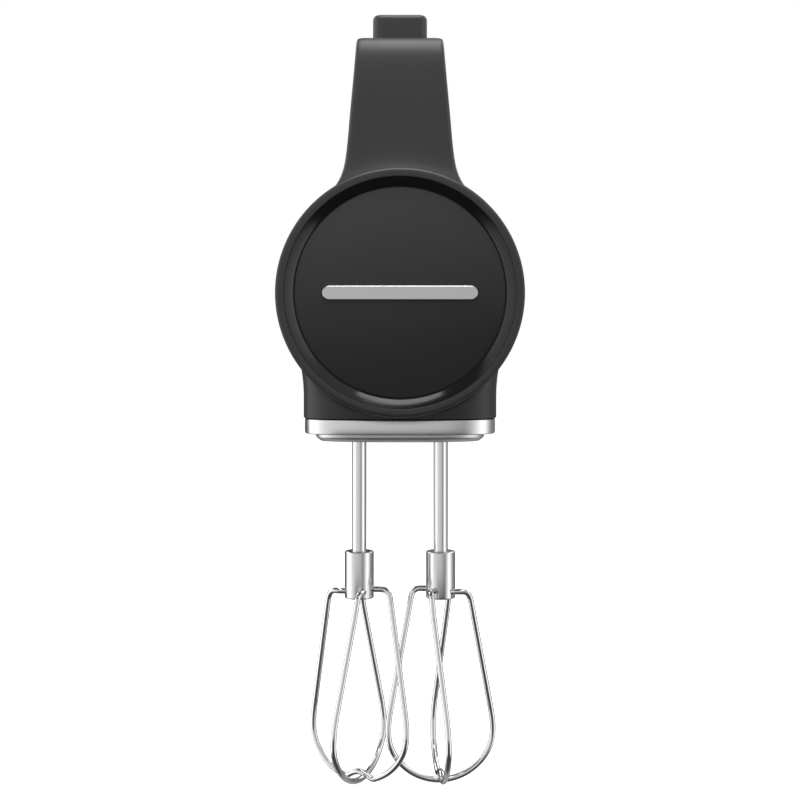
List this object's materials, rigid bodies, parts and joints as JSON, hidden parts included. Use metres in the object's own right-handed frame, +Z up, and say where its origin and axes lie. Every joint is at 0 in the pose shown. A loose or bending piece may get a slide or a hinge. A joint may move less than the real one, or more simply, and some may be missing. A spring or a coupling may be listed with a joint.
{
  "type": "cordless hand mixer",
  "caption": "Cordless hand mixer with a round nose, loop handle, eject button, speed slider, rear battery and two twisted-wire beaters on a worm drive.",
  "frame": {"origin": "centre of the base plate's underside, midway between the two beater spindles", "axes": "+Z up from the beaters to the handle, +Y back from the round nose to the battery, +X to the right as seen from the nose side"},
  "size_m": [0.096, 0.1903, 0.3171],
  "materials": {
    "charcoal_plastic": "satin",
    "gloss_black_plastic": "gloss",
    "black_plastic": "satin",
    "grey_plastic": "matte",
    "acetal": "satin",
    "stainless": "polished",
    "brushed_trim": "brushed",
    "badge_silver": "satin",
    "steel": "satin",
    "dark_steel": "satin",
    "bronze": "satin",
    "copper": "satin",
    "cell_wrap": "satin",
    "board_green": "satin",
    "ferrite": "matte"
  },
  "bodies": {
    "housing": {"body_shell": "charcoal_plastic", "handle_cover": "black_plastic", "nose_ring": "gloss_black_plastic", "nose_disc": "charcoal_plastic", "badge_bar": "badge_silver", "trim_band": "brushed_trim", "base_plate": "brushed_trim", "base_screw_1": "steel", "base_screw_2": "steel", "base_screw_3": "steel", "base_screw_4": "steel", "battery_dock": "black_plastic", "gear_frame": "grey_plastic", "gear_frame_cap": "grey_plastic", "left_spindle_bush": "bronze", "right_spindle_bush": "bronze", "worm_end_bush": "bronze", "motor_can": "dark_steel", "motor_end_bell": "black_plastic", "motor_front_bush": "bronze", "motor_rear_bush": "bronze", "left_magnet": "ferrite", "right_magnet": "ferrite", "switch_board": "board_green", "control_board": "board_green", "heat_sink": "steel", "eject_spring": "steel"},
    "rotor": {"motor_shaft": "steel", "armature": "dark_steel", "commutator": "copper", "worm": "steel"},
    "left_drive": {"left_spindle": "steel", "left_gear": "acetal"},
    "right_drive": {"right_spindle": "steel", "right_gear": "acetal"},
    "ejector": {"eject_button": "charcoal_plastic", "eject_rod": "acetal", "eject_fork": "acetal"},
    "left_pin": {"left_push_pin": "acetal"},
    "right_pin": {"right_push_pin": "acetal"},
    "left_beater": {"left_beater_shaft": "stainless", "left_beater_hub": "stainless", "left_upper_wire": "stainless", "left_lower_wire": "stainless"},
    "right_beater": {"right_beater_shaft": "stainless", "right_beater_hub": "stainless", "right_upper_wire": "stainless", "right_lower_wire": "stainless"},
    "slider": {"speed_slider": "grey_plastic"},
    "battery": {"battery_case": "black_plastic", "battery_lid": "grey_plastic", "terminal_block": "copper", "cell_1": "cell_wrap", "cell_2": "cell_wrap", "cell_3": "cell_wrap"},
    "left_latch": {"left_latch_button": "grey_plastic"},
    "right_latch": {"right_latch_button": "grey_plastic"}
  },
  "joints": [
    {"name": "rotor_spin", "type": "hinge", "parent": "housing", "child": "rotor", "pos_m": [0, 0, 0.042], "axis": [0, 1, 0], "continuous": true},
    {"name": "left_spindle_spin", "type": "hinge", "parent": "housing", "child": "left_drive", "pos_m": [-0.0171, 0, 0], "axis": [0, 0, 1], "continuous": true},
    {"name": "right_spindle_spin", "type": "hinge", "parent": "housing", "child": "right_drive", "pos_m": [0.0171, 0, 0], "axis": [0, 0, 1], "continuous": true},
    {"name": "eject_press", "type": "slide", "parent": "housing", "child": "ejector", "axis": [0, 0, -1], "range_m": [0, 0.0075], "stiffness_N_per_m": 900, "springref_m": -0.004, "deforming": ["eject_spring"]},
    {"name": "left_pin_push", "type": "slide", "parent": "left_drive", "child": "left_pin", "axis": [0, 0, -1], "range_m": [0, 0.0075]},
    {"name": "right_pin_push", "type": "slide", "parent": "right_drive", "child": "right_pin", "axis": [0, 0, -1], "range_m": [0, 0.0075]},
    {"name": "left_beater_pull", "type": "slide", "parent": "left_pin", "child": "left_beater", "axis": [0, 0, -1], "range_m": [0, 0.02]},
    {"name": "right_beater_pull", "type": "slide", "parent": "right_pin", "child": "right_beater", "axis": [0, 0, -1], "range_m": [0, 0.02]},
    {"name": "speed_slide", "type": "slide", "parent": "housing", "child": "slider", "axis": [0, 1, 0], "range_m": [0, 0.021]},
    {"name": "battery_slide", "type": "slide", "parent": "housing", "child": "battery", "axis": [0, 1, 0], "range_m": [0, 0.05]},
    {"name": "left_latch_press", "type": "slide", "parent": "battery", "child": "left_latch", "axis": [1, 0, 0], "range_m": [0, 0.0022], "stiffness_N_per_m": 600, "springref_m": -0.001},
    {"name": "right_latch_press", "type": "slide", "parent": "battery", "child": "right_latch", "axis": [-1, 0, 0], "range_m": [0, 0.0022], "stiffness_N_per_m": 600, "springref_m": -0.001}
  ],
  "couplings": [
    {"joint": "left_spindle_spin", "follows": "rotor_spin", "ratio": 0.038462},
    {"joint": "right_spindle_spin", "follows": "rotor_spin", "ratio": -0.038462},
    {"joint": "left_pin_push", "follows": "eject_press", "ratio": 1},
    {"joint": "right_pin_push", "follows": "eject_press", "ratio": 1}
  ]
}
